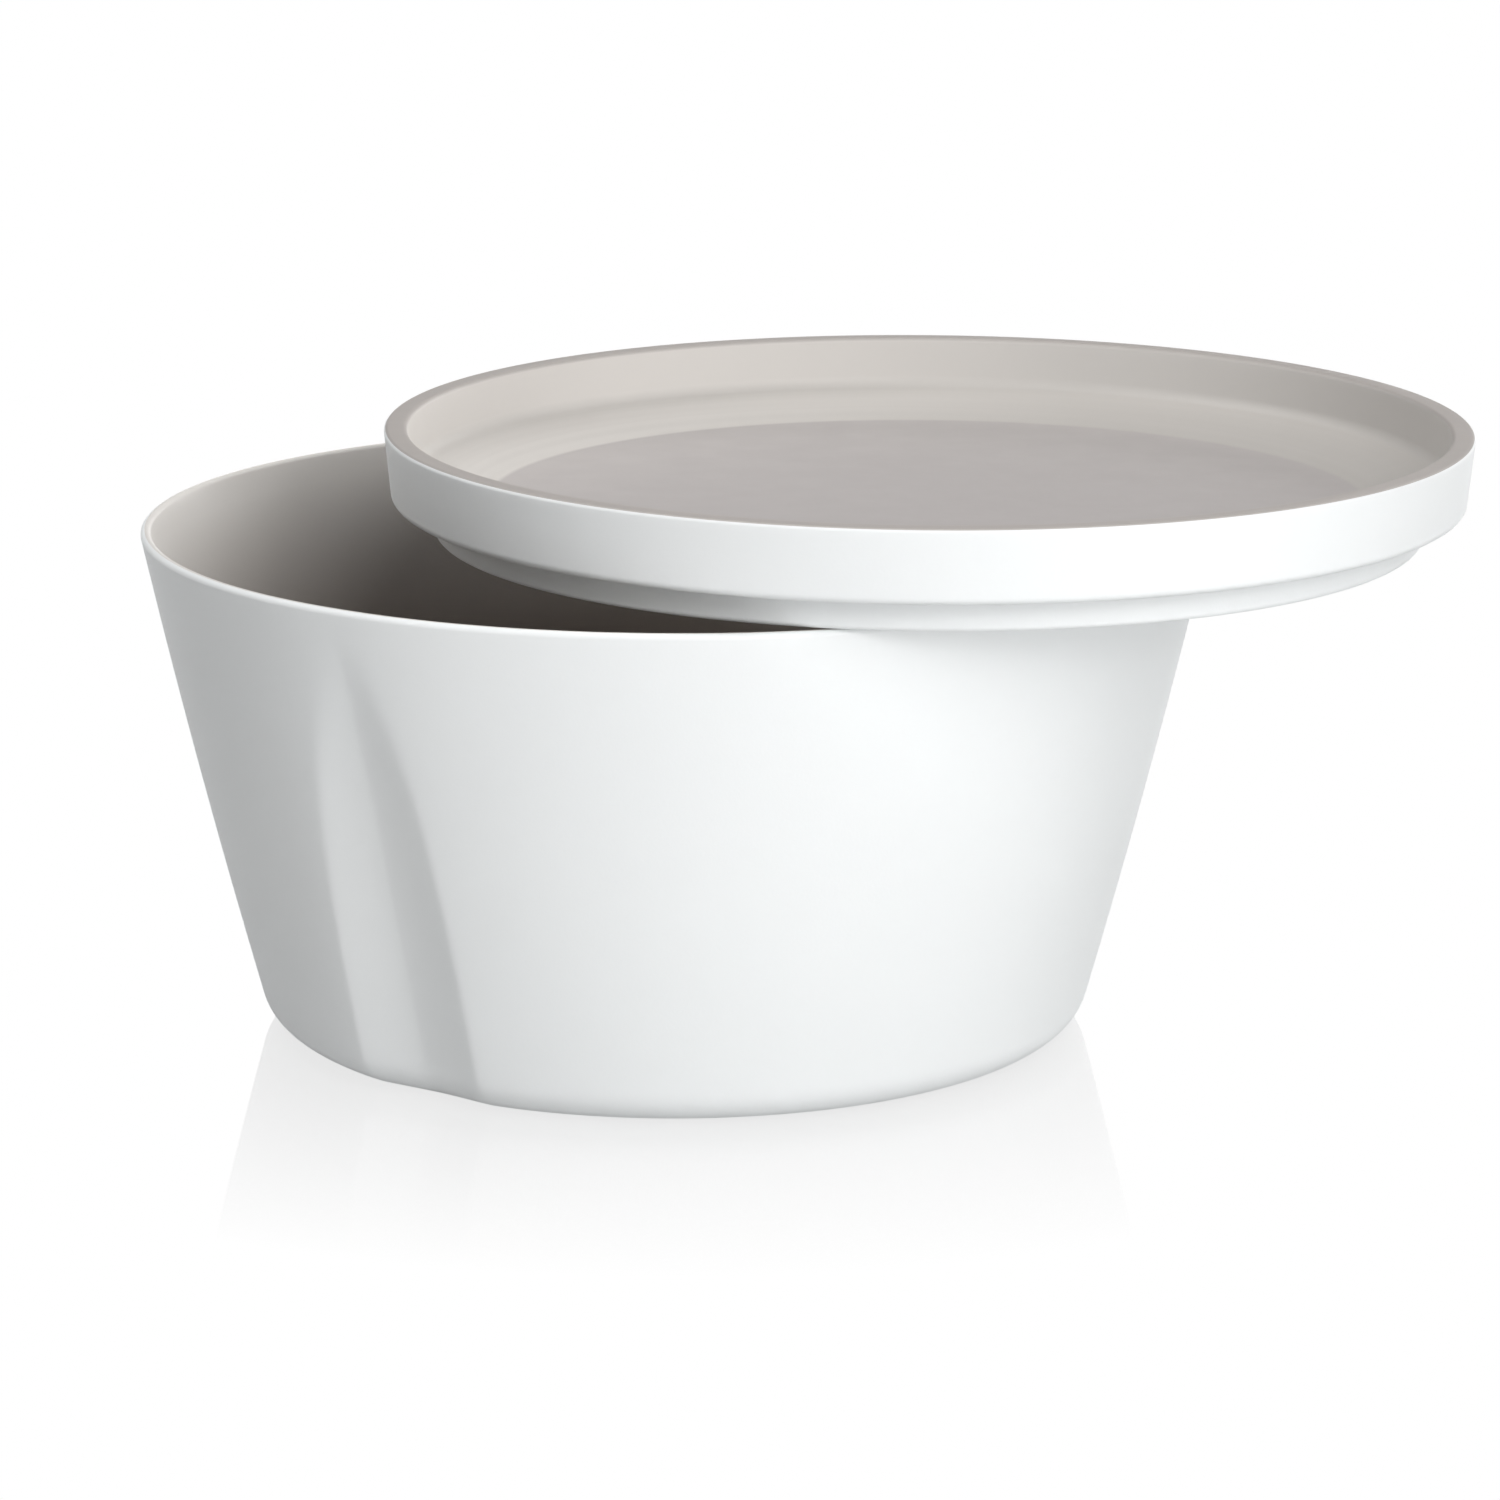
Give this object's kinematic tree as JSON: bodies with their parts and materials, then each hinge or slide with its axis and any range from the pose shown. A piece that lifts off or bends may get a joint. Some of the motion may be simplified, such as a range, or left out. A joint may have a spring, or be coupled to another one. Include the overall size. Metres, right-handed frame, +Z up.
{
  "type": "go stone bowl",
  "caption": "Round porcelain bowl with tapered wall and pressed finger grooves, and a free dished lid with a stepped ring, laid off-centre on the rim.",
  "frame": {"origin": "centre of the bowl's flat underside, at table height", "axes": "+Z up along the bowl's axis; +X towards the side that the lid is pushed over to; -Y is the front"},
  "size_m": [0.2481, 0.2087, 0.1153],
  "materials": {
    "bisque_porcelain": "unglazed white porcelain, smooth and matt, outside both pieces",
    "glazed_porcelain": "glossy warm grey glaze inside both pieces, stopping at a thin bare line on the lip"
  },
  "bodies": {
    "bowl": {"bowl": "bisque_porcelain"},
    "lid": {"lid": "glazed_porcelain"}
  },
  "joints": [
    {"name": "lid_lift", "type": "slide", "parent": "bowl", "child": "lid", "axis": [0, 0, 1], "range_m": [0, 0.12]}
  ]
}
